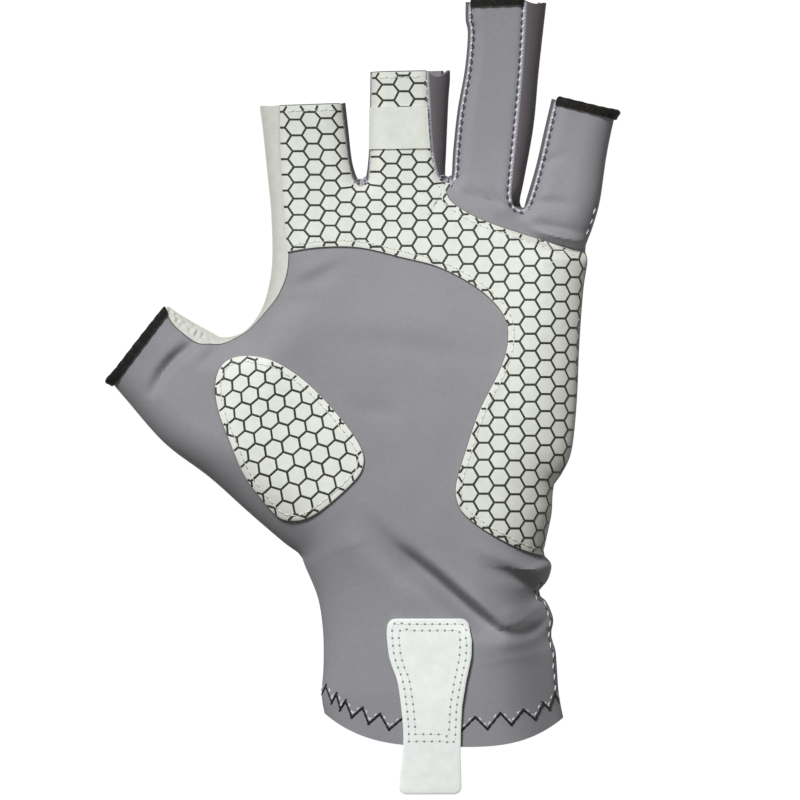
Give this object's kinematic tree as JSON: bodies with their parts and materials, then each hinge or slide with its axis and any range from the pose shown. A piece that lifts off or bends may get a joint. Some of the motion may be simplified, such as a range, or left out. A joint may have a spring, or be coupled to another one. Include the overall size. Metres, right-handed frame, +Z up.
{
  "type": "fishing glove",
  "caption": "Left-hand fingerless glove lying palm up, with raised grip patches on the palm, trimmed finger holes and a pull tab at the cuff.",
  "frame": {"origin": "on the surface that the glove's back rests on, under the middle of its outline", "axes": "+X from the thumb to the little finger, +Y from the cuff to the fingertips, +Z up out of the palm"},
  "size_m": [0.1654, 0.2546, 0.0275],
  "materials": {
    "grey_fabric": "smooth matte stretch knit",
    "white_suede": "matte synthetic suede",
    "black_elastic": "matte woven elastic"
  },
  "bodies": {
    "root": {"palm_panel": "grey_fabric", "back_panel": "grey_fabric", "side_wall_index_middle": "grey_fabric", "side_wall_middle_ring": "grey_fabric", "side_wall_ring_little": "grey_fabric", "index_thumb_strip": "white_suede", "grip_patch": "white_suede", "thenar_patch": "white_suede", "middle_finger_band": "white_suede", "ring_finger_trim": "black_elastic", "ring_finger_back_trim": "black_elastic", "little_finger_trim": "black_elastic", "thumb_trim": "black_elastic", "cuff_hem": "grey_fabric", "pull_tab": "white_suede"}
  },
  "joints": []
}
